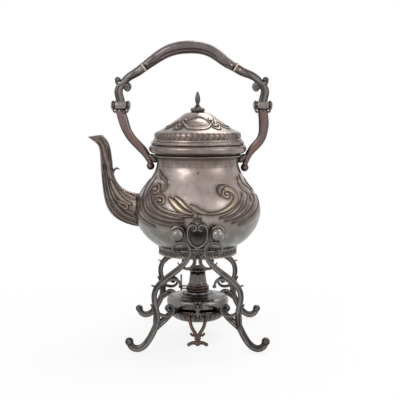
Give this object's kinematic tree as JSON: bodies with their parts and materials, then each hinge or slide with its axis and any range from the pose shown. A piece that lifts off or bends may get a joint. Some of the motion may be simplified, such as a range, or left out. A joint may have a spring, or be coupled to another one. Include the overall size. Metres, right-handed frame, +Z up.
{
  "type": "spirit kettle on tilting stand",
  "caption": "Scroll-footed stand that carries a round spirit kettle with a swing handle and lift-off lid over a spirit burner; the kettle tips forward on studs to pour.",
  "frame": {"origin": "on the table, under the middle of the whole outline; the axis of the kettle and burner stands 22.7 mm towards +X from it", "axes": "+Z up; -X towards the spout; -Y towards the front scroll frame"},
  "size_m": [0.2366, 0.1856, 0.3803],
  "materials": {
    "stand_plate": "tarnished silver plate on cast metal",
    "copper_show": "silver plate worn to red metal",
    "screw_brass": "dull yellow metal",
    "burner_plate": "satin silver plate",
    "wick_tube_brass": "dull yellow metal",
    "wick_cotton": "charred cotton",
    "kettle_plate": "polished silver plate with dark recesses",
    "bail_plate": "worn silver plate",
    "insulator_bone": "old ivory coloured insulator"
  },
  "bodies": {
    "stand": {"front_left_leg": "stand_plate", "front_right_leg": "stand_plate", "rear_left_leg": "stand_plate", "rear_right_leg": "stand_plate", "front_cartouche": "stand_plate", "rear_cartouche": "stand_plate", "burner_holder": "stand_plate", "holder_screws": "screw_brass", "front_clip": "stand_plate", "rear_clip": "stand_plate", "front_pendant": "copper_show", "rear_pendant": "copper_show"},
    "burner": {"burner_reservoir": "burner_plate", "wick_tube": "wick_tube_brass", "wick": "wick_cotton", "burner_column": "burner_plate", "burner_crown": "burner_plate"},
    "regulator": {"regulator_sleeve": "copper_show", "regulator_lever": "screw_brass"},
    "kettle": {"kettle_body": "kettle_plate", "kettle_base": "kettle_plate", "foot_ring": "kettle_plate", "neck_collar": "kettle_plate", "neck_bead": "kettle_plate", "spout": "kettle_plate", "front_left_stud": "kettle_plate", "front_right_stud": "kettle_plate", "rear_left_stud": "kettle_plate", "rear_right_stud": "kettle_plate", "front_arm": "kettle_plate", "back_arm": "kettle_plate", "front_hinge_pin": "kettle_plate", "back_hinge_pin": "kettle_plate"},
    "bail": {"front_bail_scroll": "bail_plate", "back_bail_scroll": "bail_plate", "front_insulator": "insulator_bone", "back_insulator": "insulator_bone", "bail_grip": "bail_plate", "bail_rivets": "screw_brass"},
    "lid": {"lid_rim": "kettle_plate", "lid_flange": "kettle_plate", "lid_dome": "kettle_plate", "knob_rosette": "kettle_plate", "knob_bud": "kettle_plate", "knob_nut": "screw_brass"}
  },
  "joints": [
    {"name": "kettle_tilt", "type": "hinge", "parent": "stand", "child": "kettle", "pos_m": [-0.00133, 0, 0.1442], "axis": [0, -1, 0], "range_deg": [0, 35]},
    {"name": "bail_swing", "type": "hinge", "parent": "kettle", "child": "bail", "pos_m": [0.02268, 0, 0.2987], "axis": [1, 0, 0], "range_deg": [-90, 90]},
    {"name": "lid_lift", "type": "slide", "parent": "kettle", "child": "lid", "axis": [0, 0, 1], "range_m": [0, 0.04]},
    {"name": "burner_lift", "type": "slide", "parent": "stand", "child": "burner", "axis": [0, 0, 1], "range_m": [0, 0.015]},
    {"name": "regulator_turn", "type": "hinge", "parent": "burner", "child": "regulator", "pos_m": [0.02268, 0, 0.06], "axis": [0, 0, 1], "range_deg": [-60, 60]}
  ]
}
